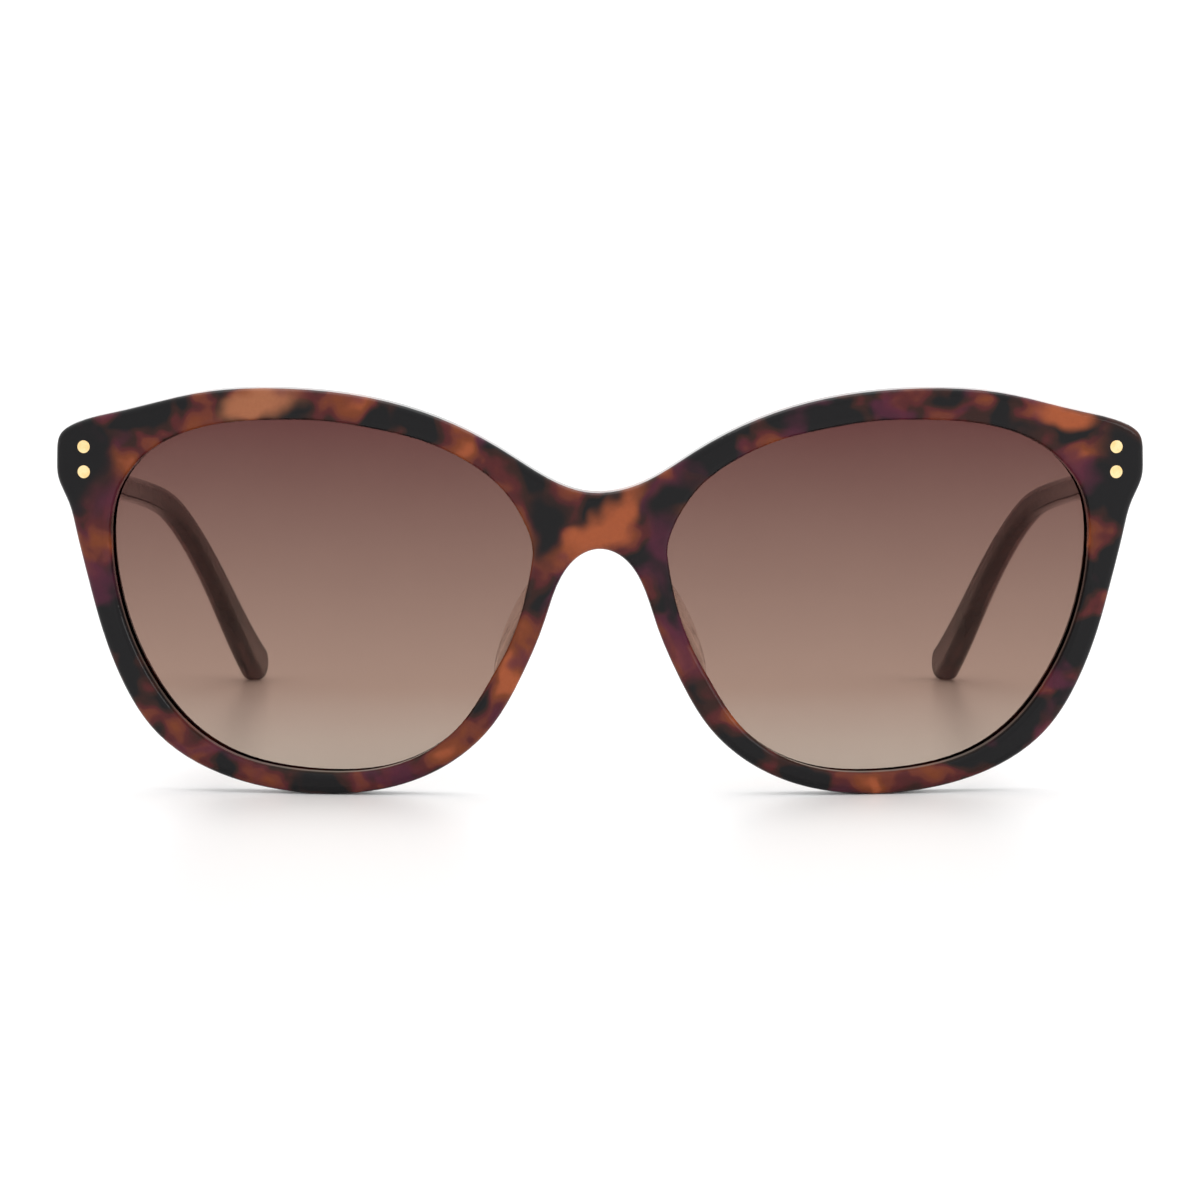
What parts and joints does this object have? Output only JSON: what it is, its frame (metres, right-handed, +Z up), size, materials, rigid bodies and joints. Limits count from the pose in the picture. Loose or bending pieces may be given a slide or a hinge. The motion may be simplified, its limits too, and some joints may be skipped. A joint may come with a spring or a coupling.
{
  "type": "sunglasses",
  "caption": "Cat-eye sunglasses: a curved acetate front with two gradient lenses and fixed nose pads, and two folding wire-cored temples on five-knuckle hinges.",
  "frame": {"origin": "middle of the footprint of the open glasses, on the surface that the bottoms of the rims and the temple tips stand on", "axes": "+X the wearer's left, +Y from the front towards the wearer's ears (the front faces -Y), +Z up"},
  "size_m": [0.1434, 0.1338, 0.0533],
  "materials": {
    "front_acetate": "polished tortoiseshell acetate: black, orange-brown and plum blotches",
    "lens": "polished plastic lens, brown tint fading to a paler tint at the bottom",
    "clear_acetate": "polished translucent taupe acetate",
    "temple_acetate": "polished translucent dark mauve-brown acetate",
    "core_wire": "plain flat nickel-silver wire",
    "hinge_steel": "satin nickel plated",
    "screw_steel": "polished",
    "rivet_gold": "polished pale gold"
  },
  "bodies": {
    "front": {"front_frame": "front_acetate", "lens_left": "lens", "lens_right": "lens", "nose_pad_left": "clear_acetate", "nose_pad_right": "clear_acetate", "front_hinge_left": "hinge_steel", "front_hinge_right": "hinge_steel", "front_rivet_upper_left": "rivet_gold", "front_rivet_upper_right": "rivet_gold", "front_rivet_lower_left": "rivet_gold", "front_rivet_lower_right": "rivet_gold", "hinge_screw_left": "screw_steel", "hinge_screw_right": "screw_steel"},
    "temple_arm_left": {"temple_left": "temple_acetate", "temple_core_left": "core_wire", "temple_hinge_left": "hinge_steel", "temple_rivet_upper_left": "rivet_gold", "temple_rivet_lower_left": "rivet_gold"},
    "temple_arm_right": {"temple_right": "temple_acetate", "temple_core_right": "core_wire", "temple_hinge_right": "hinge_steel", "temple_rivet_upper_right": "rivet_gold", "temple_rivet_lower_right": "rivet_gold"}
  },
  "joints": [
    {"name": "temple_hinge_left_fold", "type": "hinge", "parent": "front", "child": "temple_arm_left", "pos_m": [0.06562, -0.05319, 0.04369], "axis": [0, 0, 1], "range_deg": [0, 84]},
    {"name": "temple_hinge_right_fold", "type": "hinge", "parent": "front", "child": "temple_arm_right", "pos_m": [-0.06562, -0.05319, 0.04369], "axis": [0, 0, -1], "range_deg": [0, 80]}
  ]
}
